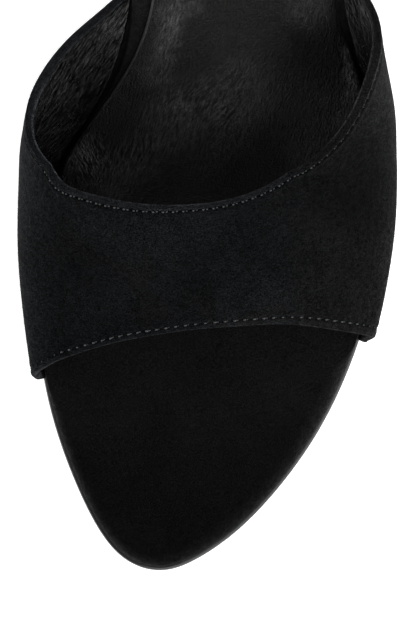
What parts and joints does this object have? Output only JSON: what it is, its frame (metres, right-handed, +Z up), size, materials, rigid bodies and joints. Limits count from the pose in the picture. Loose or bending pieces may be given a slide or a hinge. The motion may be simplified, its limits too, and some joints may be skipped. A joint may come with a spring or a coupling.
{
  "type": "heeled sandal",
  "caption": "Open-toe mule with a wide suede band across the foot, open back, leather sock and slim high heel.",
  "frame": {"origin": "middle of the heel top piece's tread, on the floor", "axes": "+Z up, -Y towards the toe and +Y towards the heel's back, +X towards the little-toe side of a left foot"},
  "size_m": [0.089, 0.2309, 0.0882],
  "materials": {
    "outsole": "polished black edge",
    "footbed": "black suede",
    "sock": "black grain leather, low sheen",
    "suede": "black suede outside, black leather lining inside",
    "heel": "black suede cover",
    "top_piece": "satin"
  },
  "bodies": {
    "root": {"outsole": "outsole", "insole": "footbed", "sock": "sock", "upper": "suede", "heel": "heel", "heel_top_piece": "top_piece"}
  },
  "joints": []
}
